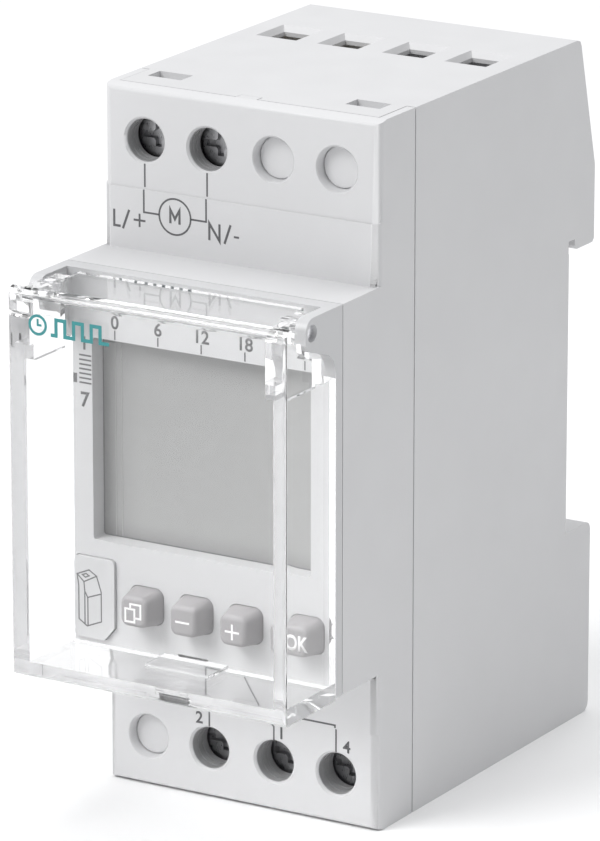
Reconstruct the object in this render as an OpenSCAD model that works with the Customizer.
/* [Body] */
// overall width, two 18 mm modules less the side clearance
width = 35.8; // [35:0.1:36]
// overall height
height = 82.5; // [80:0.5:92]
// distance from the rail seat to the terminal face
terminal_depth = 43.46; // [42:0.02:45]
// distance from the rail seat to the front of the bezel
nose_depth = 52.62; // [50:0.02:55]
// height of the raised nose that fills the panel cut-out
nose_height = 45; // [44:0.5:46]
// wall thickness of the rear housing
wall = 1.7; // [1.2:0.1:2.5]
// how far the back reaches behind the rail seat
back_depth = 6; // [5:0.1:7]

/* [Rail] */
// width of the top-hat rail
rail_width = 35; // [35:1:35]
// thickness of the gap that takes the rail's edge
rail_gap = 1.4; // [1.1:0.1:1.6]
// length of travel of the latch
latch_travel = 3.5; // [2:0.5:5]

/* [Terminals] */
// distance from the middle to the inner terminals
terminal_inner = 4.3; // [4:0.1:5]
// distance from the middle to the outer terminals
terminal_outer = 12.5; // [12:0.1:13]
// height of the terminal screws above the middle
terminal_height = 35.2; // [34:0.1:36]
// radius of the screwdriver holes in the terminal faces
access_radius = 2.5; // [2.4:0.05:2.7]
// radius of the terminal screw's head, which is too large to fall out
head_radius = 2.85; // [2.75:0.05:3]
// radius of the terminal screw's thread
screw_radius = 1.7; // [1.5:0.05:2]

/* [Front] */
// width of the display window
window_width = 27; // [24:0.5:28]
// top edge of the display window
window_top = 14.6; // [12:0.1:15]
// bottom edge of the display window
window_bottom = -9; // [-11:0.1:-8]
// distance between button centres
button_pitch = 6.5; // [6:0.05:7]
// height of the button row
button_height = -15.65; // [-17:0.05:-14]
// thickness of the clear cover's front wall
cover_wall = 1.2; // [1:0.05:2]
// thickness of the clear cover's side walls
cover_side = 1.95; // [1.6:0.05:2.2]
// radius of the cover's hinge pins
pin_radius = 1; // [0.8:0.05:1.2]

/* [Hidden] */
$fn = 48;
hw = width / 2;
hh = height / 2;
yt = -terminal_depth;
yn = -nose_depth;
hn = nose_height / 2;
y_split = -35.5;
y_slab = -41.55;
y_bez = yn + 1.32;
y_plate = yt + 1.76;
cheek = 1.07;
band_z = 29.85;
band_rise = 0.24;
seat_z = 16.2;
seat_lift = 0.1;
hook_z = 16.4;
groove_z = rail_width / 2 + 0.2;
cell_z = 30.2;
in_z = hh - wall - 0.05;
in_x = hw - wall;
xs = [-terminal_outer, -terminal_inner, terminal_inner, terminal_outer];
// [x, side]: the terminals that hold a screw, two at the top and three at the bottom
live = [[xs[0], 1], [xs[1], 1], [xs[1], -1], [xs[2], -1], [xs[3], -1]];
blind = [[xs[2], 1], [xs[3], 1], [xs[0], -1]];
head_tall = 2.3;
guide_y1 = -36.9;
guide_z = 35.15;
guide_half = 3.45;
collar_wall = 0.7;
groove = 0.15;
seam_gap = 0.22;
throat_z = hh - 0.7;
shelf_y0 = -23;
shelf_y1 = -21.8;
bar_y0 = -15.4;
bar_y1 = -14.2;
hinge_y = -57.73;
hinge_z = 20.76;
ear_in = 16.5;
lug_in = 14.95;
lug_out = 16.35;
lug_radius = 1.9;
cover_y = -63.4;
cover_back = yn - 0.13;
cover_top = 22.25;
cover_low = -22.75;
cover_floor = 1.55;
cover_roof = 1.25;
side_top = 14.5;
roof_back = -53.9;
tongue_z = -21;
win = window_width / 2;
bxs = [for (i = [0:3]) 0.05 - button_pitch + i * button_pitch];
key_x0 = -15.95;
key_x1 = -10.5;
key_z0 = -20.75;
key_z1 = -11;
pcb_y = -46;
main_y = -30;
latch_half = 5;
latch_y0 = 1.3;
latch_y1 = 4.2;
latch_low = -40.4;
peg_z0 = -36;
peg_z1 = -34.4;
spring_short = 7.9;
window_z = peg_z1 + spring_short + latch_travel;

// ---- helpers ----
module bx(x0, x1, y0, y1, z0, z1) {
    translate([x0, y0, z0]) cube([x1 - x0, y1 - y0, z1 - z0]);
}

// a (Y, Z) outline, extruded along X
module px(pts, x0, x1) {
    translate([x0, 0, 0]) rotate([90, 0, 90]) linear_extrude(height = x1 - x0) polygon(pts);
}

// an (X, Z) outline, extruded along Y
module py(pts, y0, y1) {
    translate([0, y1, 0]) rotate([90, 0, 0]) linear_extrude(height = y1 - y0) polygon(pts);
}

// a cylinder along Y
module cy(x, z, r, y0, y1) {
    translate([x, y0, z]) rotate([-90, 0, 0]) cylinder(r = r, h = y1 - y0);
}

// a cylinder along X
module cx(y, z, r, x0, x1) {
    translate([x0, y, z]) rotate([0, 90, 0]) cylinder(r = r, h = x1 - x0);
}

// a box with rounded edges along Y
module ry(x0, x1, z0, z1, r, y0, y1) {
    bx(x0 + r, x1 - r, y0, y1, z0, z1);
    bx(x0, x1, y0, y1, z0 + r, z1 - r);
    for (x = [x0 + r, x1 - r], z = [z0 + r, z1 - r]) cy(x, z, r, y0, y1);
}

function arc(cy, cz, r, a0, a1, n = 6) =
    [for (i = [0:n]) let (a = a0 + (a1 - a0) * i / n) [cy + r * cos(a), cz + r * sin(a)]];

// the plain face of the terminal screws on one side, and the end of the tunnel in front of them
function head_y(side) = side > 0 ? -40.5 : -39.8;
function collar_y(side) = head_y(side) - (side > 0 ? 0.46 : 0.3);

// a frame that cuts a fine groove round an edge, to half sizes x and z
module shadow_gap(x, z, y0, y1) {
    difference() {
        bx(-x - 1, x + 1, y0, y1, -z - 1, z + 1);
        bx(-x + 0.5, x - 0.5, y0 - 1, y1 + 1, -z + 0.5, z - 0.5);
    }
}

// both mirrored halves, top and bottom
module both_z() {
    children();
    mirror([0, 0, 1]) children();
}

// ---- rear housing ----
function back_outline() = concat(
    [[y_split, hh]],
    [[2.4 - 0.9, hh], [2.4 - 0.25, hh - 0.25], [2.4 + 0.05, hh - 0.9]],
    arc(back_depth - 1, 25.6, 1, 13, 0, 3),
    [[back_depth, hook_z + 0.4], [back_depth - 0.4, hook_z], [rail_gap + 0.5, hook_z],
        [rail_gap, hook_z + 0.5], [rail_gap, groove_z], [-seat_lift, groove_z],
        [-seat_lift, seat_z], [0, seat_z], [0, -seat_z], [-seat_lift, -seat_z],
        [-seat_lift, -groove_z]],
    arc(back_depth - 1, -groove_z - 1, 1, 90, 0, 4),
    arc(back_depth - 1.2, -hh + 1.2, 1.2, 0, -90, 4),
    [[y_split, -hh]]);

// one wire entry: a funnel in the top face that narrows towards the cell
module wire_funnel(x) {
    intersection() {
        py([[x - 2.83, hh + 0.2], [x + 2.83, hh + 0.2], [x + 2.25, throat_z], [x + 2.25, hh - 4],
            [x - 2.25, hh - 4], [x - 2.25, throat_z]], -20, -5);
        px([[-15.4, hh + 0.2], [-8.8, hh + 0.2], [-9.6, throat_z], [-9.6, hh - 4],
            [-14.4, hh - 4], [-14.4, throat_z]], x - 4, x + 4);
    }
    bx(x - 3, x + 3, -15.3, -8.7, hh - 4, hh - 1.2);
}

module end_slab() {
    difference() {
        bx(-hw + cheek + 0.03, hw - cheek - 0.12, y_slab, y_split + 0.01, hh - 1.6, hh);
        for (x = [-15.3, 10.5]) bx(x, x + 4.4, -38.3, -35.7, hh - 3, hh + 1);
        bx(-1.61, 1.2, y_slab - 1, y_slab + 1.01, hh - 3, hh + 1);
    }
}

module terminal_cells() {
    difference() {
        union() {
            bx(-in_x - 0.1, in_x + 0.1, shelf_y0, shelf_y1, cell_z - 1, in_z + 0.1);
            bx(-in_x - 0.1, in_x + 0.1, shelf_y0, -1.7, cell_z - 1, cell_z);
            for (x = [-8.4, 0, 8.4]) bx(x - 0.5, x + 0.5, shelf_y0, -1.7, cell_z - 0.5, in_z + 0.1);
        }
        for (x = xs) {
            cy(x, terminal_height, screw_radius + 0.25, -24, -20);
            bx(x - 2.35, x + 2.35, bar_y0 - 0.1, bar_y1 + 0.1, cell_z - 2, cell_z + 1);
        }
    }
}

module rear_housing() {
    color([0.86, 0.86, 0.87])
    difference() {
        union() {
            difference() {
                px(back_outline(), -hw, hw);
                px([[y_split - 1, in_z], [0.6, in_z], [4.2, 25.3], [4.2, 19.5], [-1.8, 19.5],
                    [-1.8, -in_z], [y_split - 1, -in_z]], -in_x, in_x);
            }
            both_z() {
                end_slab();
                terminal_cells();
                bx(-in_x - 0.1, in_x + 0.1, -16.4, -7.4, in_z - 0.8, in_z + 0.1);
            }
            for (s = [-1, 1], z = [-24, 24])
                bx(s * 15 - 1.3, s * 15 + 1.3, main_y + 1.7, -1.7, z - 1, z + 1);
        }
        both_z() for (x = xs) wire_funnel(x);
        difference() {
            bx(-latch_half - 0.2, latch_half + 0.2, rail_gap - 0.3, latch_y1 + 0.2,
                -hh - 1, -groove_z + 1);
            bx(-1.5, 1.5, 0.9, back_depth - 1, peg_z0, peg_z1);
        }
    }
}

// ---- front cap ----
module cap_outer() {
    intersection() {
        linear_extrude(height = height + 2, center = true)
            polygon(concat([[-hw, y_split]], arc(-hw + 1, yt + 1, 1, 180, 270),
                arc(hw - 1, yt + 1, 1, 270, 360), [[hw, y_split]]));
        px(concat([[y_split, -hh], [yt + 1.6, -hh]], arc(yt + 0.5, -hh + 0.78, 0.5, 256, 180),
            arc(yt + 0.5, hh - 0.78, 0.5, 180, 104), [[yt + 1.6, hh], [y_split, hh]]), -hw - 1, hw + 1);
    }
}

// the posts that carry the display board
module board_posts(y_end) {
    for (s = [-1, 1], z = [-19.9, 19.9])
        bx(s * 15.2 - 1.2, s * 15.2 + 1.2, pcb_y + 1.65, y_end, z - 1.1, z + 1.1);
}

module front_cap() {
    color([0.88, 0.88, 0.89])
    difference() {
        union() {
            difference() {
                cap_outer();
                bx(-hw + cheek, hw - cheek, y_plate, y_split + 1, -hh - 1, hh + 1);
            }
            px([[y_plate, -hn], [y_bez, -hn], [y_bez, hn], [y_plate, hn]], -hw, hw);
            both_z() {
                intersection() {
                    px([[yt + 1.1, hn - 0.1], [yt - band_rise, hn - 0.1],
                        [yt - band_rise, band_z - 0.25], [yt + 1.1, band_z]], -hw, hw);
                    translate([0, -band_rise, 0]) cap_outer();
                }
                for (x = [-15.1, 10.7]) {
                    bx(x, x + 4, y_plate - 0.1, -35.8, hh - 2.5, hh - 1.8);
                    px([[-38.1, hh - 1.9], [-35.9, hh - 1.9], [-35.9, hh - 1], [-38.1, hh - 1.3]],
                        x, x + 4);
                }
                bx(-1.6, 1.05, y_plate - 0.1, y_slab + 1, hh - 1.5, hh - 0.02);
            }
            board_posts(yt + 1);
            for (t = live)
                cy(t[0], t[1] * terminal_height, access_radius + collar_wall, y_plate - 0.1, collar_y(t[1]));
        }
        shadow_gap(hw, hh, y_split - seam_gap, y_split + 1);
        shadow_gap(hw, hn, y_bez - 1, y_bez + groove);
        difference() {
            bx(-hw + 1.6, hw - 1.6, y_bez - 1, y_plate + 1, -hn + 1.6, hn - 1.6);
            board_posts(y_plate);
        }
        for (t = concat(live, blind)) translate([t[0], yt - 0.01, t[1] * terminal_height])
            rotate([-90, 0, 0]) cylinder(r1 = access_radius + 0.25, r2 = access_radius, h = 0.26);
        for (t = live) {
            cy(t[0], t[1] * terminal_height, access_radius, yt - 1, collar_y(t[1]) + 1);
            for (y = [collar_y(t[1]) - 0.85, collar_y(t[1]) - 0.35])
                cy(t[0], t[1] * terminal_height, access_radius + groove, y, y + 0.25);
        }
        for (t = blind) difference() {
            cy(t[0], t[1] * terminal_height, access_radius, yt - 1, yt + 1.5);
            cy(t[0], t[1] * terminal_height, access_radius - groove, yt + 1.25, yt + 2);
        }
    }
}

// ---- screw guides, behind the terminal faces ----
module screw_guide(side) {
    color([0.2, 0.2, 0.21])
    difference() {
        bx(-in_x + 0.3, in_x - 0.3, collar_y(side) + 0.06, guide_y1,
            side * guide_z - guide_half, side * guide_z + guide_half);
        for (t = live) if (t[1] == side) {
            cy(t[0], side * terminal_height, head_radius + 0.2,
                collar_y(side) - 1, head_y(side) + head_tall + 0.1);
            cy(t[0], side * terminal_height, screw_radius + 0.25, collar_y(side), guide_y1 + 1);
        }
    }
}

module screw_guide_top() { screw_guide(1); }
module screw_guide_bottom() { screw_guide(-1); }

// ---- bezel ----
function ear_outline() = concat(
    [[y_bez, hn]],
    arc(hinge_y + 0.2, hn - 1.6, 1.6, 90, 180, 8),
    [[hinge_y - 1.4, 19.6], [-58.3, 18.75], [-54.3, 17.5], [-53.6, 17.05], [-53.1, 16.4],
        [-52.75, 15.6], [yn, 14.9], [y_bez, 14.9]]);

// the key slot's outline, with its cut corner moved in by gap
module key_corner(gap) {
    py([[key_x0, key_z0], [key_x1 - 1.4 - 1.3 * gap, key_z0], [key_x1, key_z0 + 1.7 + 1.57 * gap],
        [key_x1, key_z1], [key_x0, key_z1]], -56, -48);
}

module bezel() {
    color([0.93, 0.93, 0.94])
    difference() {
        union() {
            difference() {
                px([[y_bez, -hn], [yn + 0.35, -hn], [yn, -hn + 0.35], [yn, hn], [y_bez, hn]], -hw, hw);
                ry(-win, win, window_bottom, window_top, 0.35, yn - 1, y_bez + 1);
            }
            difference() {
                ry(-win - 1, win + 1, window_bottom - 1, window_top + 1, 1.2, yn + 0.5, yn + 2.2);
                ry(-win, win, window_bottom, window_top, 0.35, yn - 1, y_bez + 2);
            }
            px([[yn + 0.1, hn], [-53.45, hn], [-53.45, 21.4], [yn, 20.9], [yn + 0.1, 20.9]],
                -ear_in - 0.1, ear_in + 0.1);
            px(ear_outline(), -hw, -ear_in);
            px(ear_outline(), ear_in, hw);
            difference() {
                bx(-hw + 1.7, hw - 1.7, y_bez - 0.1, y_bez + 2.4, -hn + 1.7, hn - 1.7);
                bx(-hw + 2.7, hw - 2.7, y_bez - 1, y_bez + 3, -hn + 2.7, hn - 2.7);
            }
        }
        for (s = [-1, 1]) cx(hinge_y, hinge_z, pin_radius - 0.01, s * 16.75 - 2, s * 16.75 + 2);
        for (x = bxs)
            ry(x - 2.25, x + 2.25, button_height - 2.2, button_height + 2.2, 1.1, yn - 1, y_bez + 1);
        intersection() {
            ry(key_x0, key_x1, key_z0, key_z1, 0.6, yn - 1, y_bez + 1);
            key_corner(0);
        }
        bx(key_x0 - 0.2, key_x1, y_bez + 0.01, y_bez + 4, key_z0, key_z1);
        bx(in_x - 1.2, in_x + 0.05, y_bez + 0.01, y_bez + 3, button_height - 3.2, button_height + 3.2);
        bx(-2.4, 1.6, yn - 1, y_bez + 4, tongue_z - 0.4, tongue_z + 0.3);
    }
}

// ---- clear cover ----
module cover_box() {
    intersection() {
        px(concat([[cover_back, cover_low]], arc(cover_y + 0.5, cover_low + 0.5, 0.5, 270, 180),
            arc(cover_y + 1.3, cover_top - 1.3, 1.3, 180, 90, 8), [[cover_back, cover_top]]), -hw, hw);
        linear_extrude(height = height, center = true)
            polygon(concat([[-hw, 0]], arc(-hw + 0.45, cover_y + 0.45, 0.45, 180, 270),
                arc(hw - 0.45, cover_y + 0.45, 0.45, 270, 360), [[hw, 0]]));
    }
}

// the thick upper end of a side wall, which carries the hinge
function lug_outline() = concat(
    [[cover_y + cover_wall - 0.1, side_top - 0.3], [cover_y + cover_wall + 0.5, side_top - 0.5],
        [hinge_y + lug_radius, side_top - 0.5]],
    arc(hinge_y, hinge_z, lug_radius, 0, 54, 5),
    [[cover_y + cover_wall - 0.1, cover_top - 0.1]]);

// the space that the ear and its swing take from the cover
function ear_pocket() = [[cover_y + cover_wall, 24], [cover_y + cover_wall, 20.6], [-60.2, 20.2],
    [-59.9, 19], [-58.9, 18.2], [-55.5, 17.3], [yn + 1, 17.3], [yn + 1, 24]];

module flip_cover() {
    color([0.9, 0.94, 0.96, 0.35])
    difference() {
        union() {
            difference() {
                cover_box();
                bx(-hw + cover_side, hw - cover_side, cover_y + cover_wall, yn + 1,
                    cover_low + cover_floor, cover_top - cover_roof);
            }
            intersection() {
                cover_box();
                for (s = [-1, 1]) px(lug_outline(), s * (lug_in + hw) / 2 - (hw - lug_in) / 2,
                    s * (lug_in + hw) / 2 + (hw - lug_in) / 2);
            }
            bx(-4, 4.3, -57, cover_back, cover_low + cover_floor - 0.1, tongue_z + 0.15);
            bx(-2.2, 1.4, cover_back - 0.5, y_bez - 0.2, tongue_z - 0.15, tongue_z + 0.15);
            for (i = [0, 1]) bx(1.2, 5.4, cover_y - 0.2, cover_y + 0.5, -21.7 + i * 0.5, -21.45 + i * 0.5);
        }
        for (s = [-1, 1]) {
            px(ear_pocket(), s * (lug_out + hw + 1) / 2 - (hw + 1 - lug_out) / 2,
                s * (lug_out + hw + 1) / 2 + (hw + 1 - lug_out) / 2);
            bx(s * 16.5 - 2, s * 16.5 + 2, hinge_y + lug_radius, yn + 1, side_top, 24);
            cx(hinge_y, hinge_z, pin_radius + 0.05, s * 15.65 - 1.4, s * 15.65 + 1.4);
        }
        bx(-hw - 1, hw + 1, roof_back, yn + 1, 18, 24);
    }
}

module hinge_pin(s) {
    color([0.75, 0.75, 0.77]) cx(hinge_y, hinge_z, pin_radius, s * 16.25 - 1.2, s * 16.25 + 1.2);
}

module hinge_pin_left() { hinge_pin(-1); }
module hinge_pin_right() { hinge_pin(1); }

// ---- buttons ----
module button(x) {
    z = button_height;
    color([0.65, 0.63, 0.65]) {
        intersection() {
            py([[x - 2.15, z - 2.1], [x + 2.15, z - 2.1], [x + 2.15, z + 2.1], [x - 2.15, z + 2.1]],
                -56, -51);
            px([[-51.2, z - 2.1], [yn, z - 2.1], [-55.6, z - 1.8], [-55.6, z + 1.8], [yn, z + 2.1],
                [-51.2, z + 2.1]], x - 3, x + 3);
            linear_extrude(height = height, center = true)
                polygon([[x - 2.15, -51.2], [x - 2.15, yn], [x - 1.75, -55.6], [x + 1.75, -55.6],
                    [x + 2.15, yn], [x + 2.15, -51.2]]);
            ry(x - 2.15, x + 2.15, z - 2.1, z + 2.1, 0.95, -56, -51);
        }
        ry(x - 2.8, x + 2.8, z - 2.6, z + 2.6, 1.2, -51.25, -50.4);
        cy(x, z, 1.2, -50.5, -47.4);
    }
}

module button_menu() { button(bxs[0]); }
module button_minus() { button(bxs[1]); }
module button_plus() { button(bxs[2]); }
module button_ok() { button(bxs[3]); }

module key_slot_cover() {
    gap = 0.08;
    color([0.91, 0.91, 0.92])
    difference() {
        union() {
            intersection() {
                ry(key_x0 + gap, key_x1 - gap, key_z0 + gap, key_z1 - gap, 0.55, yn - 0.4, y_bez + 0.5);
                key_corner(gap);
            }
            bx(key_x0 + 0.7, key_x1 - 0.9, y_bez - 0.2, -48.6, key_z0 + 1.3, key_z1 - 1.8);
        }
        bx(key_x0 + 1.6, key_x1 - 1.8, y_bez + 0.3, -48, key_z0 + 2.2, key_z1 - 2.7);
    }
}

// ---- display stack ----
module lcd_glass() {
    color([0.62, 0.66, 0.63]) {
        bx(-win - 0.9, win + 0.9, yn + 2.25, yn + 3.1, window_bottom - 2.8, window_top + 1.1);
        bx(-win - 0.9, win + 0.9, yn + 3.1, yn + 3.95, window_bottom - 0.9, window_top + 1.1);
    }
}

module light_guide() {
    color([0.95, 0.95, 0.93])
    difference() {
        bx(-win - 0.9, win + 0.9, yn + 4.05, pcb_y - 0.2, window_bottom - 0.9, window_top + 1);
        for (x = [-win + 1, win - 1], z = [window_bottom + 1, window_top - 1])
            cy(x, z, 0.6, pcb_y - 0.8, pcb_y);
    }
}

module contact_strip() {
    color([0.85, 0.6, 0.6])
        bx(-win, win, yn + 3.15, pcb_y - 0.05, window_bottom - 2.6, window_bottom - 1.2);
}

module display_board() {
    color([0.1, 0.4, 0.2])
    difference() {
        bx(-15.9, 15.9, pcb_y, pcb_y + 1.6, -20.5, 20.5);
        for (i = [0:5]) cy(-6.35 + i * 2.54, -18.4, 0.45, pcb_y - 1, pcb_y + 2);
        for (x = [-13.4, 13.4]) cy(x, 17.6, 1.1, pcb_y - 1, pcb_y + 2);
    }
}

module controller_chip() {
    color([0.12, 0.12, 0.13]) bx(-13.5, -4.5, pcb_y + 1.85, pcb_y + 3.25, -12.5, -3.5);
    color([0.8, 0.8, 0.8]) for (i = [0:7]) {
        bx(-14.3, -3.7, pcb_y + 1.7, pcb_y + 2.0, -12.0 + i * 1.08, -11.6 + i * 1.08);
        bx(-13.0 + i * 1.08, -12.6 + i * 1.08, pcb_y + 1.7, pcb_y + 2.0, -13.3, -2.7);
    }
}

module crystal() {
    color([0.8, 0.8, 0.82]) {
        translate([-12.2, pcb_y + 2.75, 1.5]) cylinder(r = 1, h = 6);
        for (s = [-1, 1]) translate([-12.2 + s * 0.4, pcb_y + 2.75, 0.2]) cylinder(r = 0.15, h = 1.4);
    }
}

module coin_cell() {
    color([0.8, 0.8, 0.82]) {
        cy(4.6, 6.8, 10, pcb_y + 2.3, pcb_y + 4.9);
        cy(4.6, 6.8, 8.6, pcb_y + 1.9, pcb_y + 2.4);
    }
}

module key_contacts() {
    color([0.2, 0.2, 0.2])
        bx(key_x0 + 0.9, key_x1 - 1, pcb_y - 2.3, pcb_y - 0.05, key_z0 + 2, key_z1 - 1.2);
    color([0.85, 0.7, 0.35]) for (i = [0:3])
        bx(key_x0 + 1.4 + i * 0.8, key_x0 + 1.8 + i * 0.8, pcb_y - 2.5, pcb_y - 2.2, key_z0 + 3, key_z1 - 2);
}

module dome_switches() {
    color([0.75, 0.75, 0.77]) for (x = bxs) {
        bx(x - 2.4, x + 2.4, pcb_y - 0.45, pcb_y - 0.05, button_height - 2, button_height + 2);
        cy(x, button_height, 1.5, pcb_y - 0.7, pcb_y - 0.4);
    }
}

module board_header() {
    color([0.1, 0.1, 0.1]) {
        bx(-7.9, 7.9, main_y - 2.6, main_y - 0.1, -19.65, -17.15);
        bx(-7.9, 7.9, pcb_y + 1.7, pcb_y + 4.2, -19.65, -17.15);
    }
    color([0.85, 0.75, 0.4]) for (i = [0:5]) cy(-6.35 + i * 2.54, -18.4, 0.32, pcb_y + 0.2, main_y + 1.3);
}

// ---- main board ----
module main_board() {
    color([0.1, 0.4, 0.2])
    difference() {
        bx(-16, 16, main_y, main_y + 1.6, -28.8, 28.8);
        for (i = [0:5]) cy(-6.35 + i * 2.54, -18.4, 0.45, main_y - 1, main_y + 2);
        for (t = live) bx(t[0] - 1.1, t[0] + 1.1, main_y - 1, main_y + 3,
            t[1] * 27.4 - 0.75, t[1] * 27.4 + 0.75);
    }
}

module relay() {
    color([0.15, 0.3, 0.55]) {
        bx(-6.2, 9.8, main_y + 1.9, -13.2, -14, 6.5);
        bx(-5.4, 9, -13.3, -12.9, -13.2, 5.7);
    }
    color([0.8, 0.8, 0.8])
        for (x = [-4.6, 8.2], z = [-12.4, 5]) cy(x, z, 0.5, main_y - 0.6, main_y + 2.2);
}

module film_capacitor() {
    color([0.85, 0.75, 0.2]) bx(-14.4, -8.2, main_y + 1.9, -17.5, -12, 6);
    color([0.8, 0.8, 0.8]) for (z = [-10.5, 4.5]) cy(-11.3, z, 0.35, main_y - 0.6, main_y + 2.2);
}

module electrolytic_capacitor() {
    color([0.15, 0.2, 0.35]) difference() {
        cy(9.5, 14.5, 4, main_y + 1.9, -16.4);
        for (a = [0, 90]) translate([9.5, -16.4, 14.5]) rotate([0, a, 0]) cube([6, 0.5, 0.3], center = true);
    }
}

module varistor() {
    color([0.1, 0.3, 0.7]) {
        translate([-3.2, -20.2, 16]) rotate([0, 90, 0]) cylinder(r = 5, h = 3.4);
        for (y = [-1, 1]) cy(-1.5, 16 + y * 2.6, 0.35, main_y - 0.6, -22.5);
    }
}

module choke() {
    color([0.2, 0.2, 0.2]) {
        cy(-11.5, 15.5, 4, main_y + 1.9, main_y + 3.2);
        cy(-11.5, 15.5, 4, -18.2, -17);
    }
    color([0.7, 0.4, 0.2]) cy(-11.5, 15.5, 3.1, main_y + 3.1, -18.1);
}

module busbars() {
    color([0.8, 0.72, 0.5]) for (t = live) {
        y_end = main_y - 0.8;
        mirror([0, 0, t[1] < 0 ? 1 : 0]) {
            px([[bar_y1, 37.8], [bar_y0, 37.8], [bar_y0, 28], [bar_y0 - 0.6, 28], [main_y + 2.2, 28],
                [main_y + 2.2, 26.8], [bar_y1 - 0.6, 26.8], [bar_y1, 27.4]], t[0] - 2.2, t[0] + 2.2);
            bx(t[0] - 0.8, t[0] + 0.8, y_end, main_y + 2.3, 26.9, 27.9);
        }
    }
}

// ---- terminals ----
module terminal_screw(i) {
    x = live[i][0];
    z = live[i][1] * terminal_height;
    y = head_y(live[i][1]);
    color([0.78, 0.78, 0.8])
    difference() {
        union() {
            cy(x, z, head_radius, y + 0.4, y + head_tall);
            translate([x, y, z]) rotate([-90, 0, 0])
                cylinder(r1 = head_radius - 0.45, r2 = head_radius, h = 0.41);
            cy(x, z, screw_radius, y + head_tall - 0.1, bar_y0 - 0.6);
            translate([x, bar_y0 - 0.61, z]) rotate([-90, 0, 0])
                cylinder(r1 = screw_radius, r2 = 1.2, h = 0.5);
        }
        translate([x, y + 0.5, z]) cube([6, 1.9, 0.8], center = true);
        translate([x, y + 0.5, z]) cube([0.9, 1.9, 3], center = true);
    }
}

module clamp_cage(i) {
    x = live[i][0];
    z = live[i][1] * terminal_height;
    color([0.82, 0.78, 0.6])
    difference() {
        bx(x - 3.2, x + 3.2, -17.7, -8, z - 3.2, z + 3.2);
        bx(x - 2.45, x + 2.45, -15.7, -9.5, z - 4, z + 4);
        cy(x, z, screw_radius + 0.05, -19, -15);
        for (e = [-1, 1], s = [-1, 1]) translate([x + s * 3.2, -12.9, z + e * 3.2])
            rotate([0, 45, 0]) cube([0.8, 12, 0.8], center = true);
    }
}

module terminal_screw_1() { terminal_screw(0); }
module terminal_screw_2() { terminal_screw(1); }
module terminal_screw_3() { terminal_screw(2); }
module terminal_screw_4() { terminal_screw(3); }
module terminal_screw_5() { terminal_screw(4); }
module clamp_cage_1() { clamp_cage(0); }
module clamp_cage_2() { clamp_cage(1); }
module clamp_cage_3() { clamp_cage(2); }
module clamp_cage_4() { clamp_cage(3); }
module clamp_cage_5() { clamp_cage(4); }

// ---- rail latch ----
module din_latch() {
    color([0.3, 0.3, 0.32])
    difference() {
        px([[latch_y0, latch_low], [latch_y1, latch_low], [latch_y1, -19.2], [2.3, -hook_z],
            [latch_y0, -hook_z]], -latch_half, latch_half);
        bx(-1.75, 1.75, 0, 6, peg_z0 - 0.1, window_z);
        bx(-2.6, 2.6, 0, 6, -39.2, -37.6);
        for (s = [-1, 1]) bx(s * 3.6 - 0.6, s * 3.6 + 0.6, 0, 6, -34, -21);
    }
}

module latch_spring() {
    coils = 9;
    wire = 0.22;
    pitch = (window_z - peg_z1 - 2 * wire - 0.1) / (coils - 1);
    color([0.7, 0.7, 0.72]) {
        for (i = [0:coils - 1]) translate([0, (latch_y0 + latch_y1) / 2, peg_z1 + wire + 0.05 + i * pitch])
            rotate_extrude() translate([1.1, 0]) circle(r = wire);
    }
}

rear_housing();
front_cap();
bezel();
flip_cover();
hinge_pin_left();
hinge_pin_right();
button_menu();
button_minus();
button_plus();
button_ok();
key_slot_cover();
lcd_glass();
light_guide();
contact_strip();
display_board();
controller_chip();
crystal();
coin_cell();
key_contacts();
dome_switches();
board_header();
main_board();
relay();
film_capacitor();
electrolytic_capacitor();
varistor();
choke();
busbars();
screw_guide_top();
screw_guide_bottom();
terminal_screw_1();
terminal_screw_2();
terminal_screw_3();
terminal_screw_4();
terminal_screw_5();
clamp_cage_1();
clamp_cage_2();
clamp_cage_3();
clamp_cage_4();
clamp_cage_5();
din_latch();
latch_spring();
